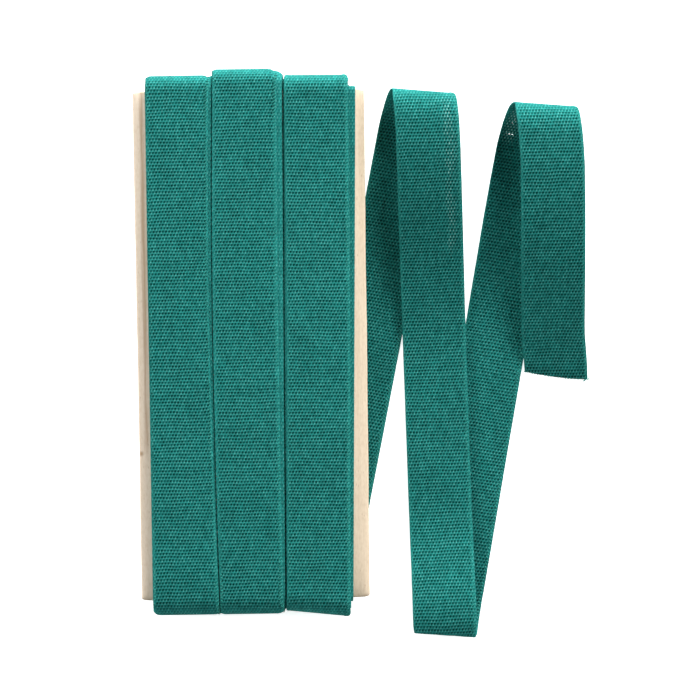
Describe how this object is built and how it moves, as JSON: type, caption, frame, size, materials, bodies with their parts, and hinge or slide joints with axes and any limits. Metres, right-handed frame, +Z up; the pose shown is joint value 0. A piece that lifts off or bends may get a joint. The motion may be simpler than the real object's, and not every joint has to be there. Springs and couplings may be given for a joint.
{
  "type": "cotton ribbon wound on a flat wooden card",
  "caption": "Narrow woven cotton ribbon wound in side-by-side bands on a flat wooden card, its loose end folded back and forth beside it.",
  "frame": {"origin": "on the surface that the part lies on, under the middle of its box", "axes": "+Y along the card towards the end that the loose end's upper loops point to, +X across the bands towards the loose end, +Z up out of the card's front"},
  "size_m": [0.1072, 0.1332, 0.0169],
  "materials": {
    "card": "raw sanded light wood",
    "ribbon": "plain woven matt cotton, teal green"
  },
  "bodies": {
    "root": {"card": "card", "wound_ribbon": "ribbon", "loose_end": "ribbon"}
  },
  "joints": []
}
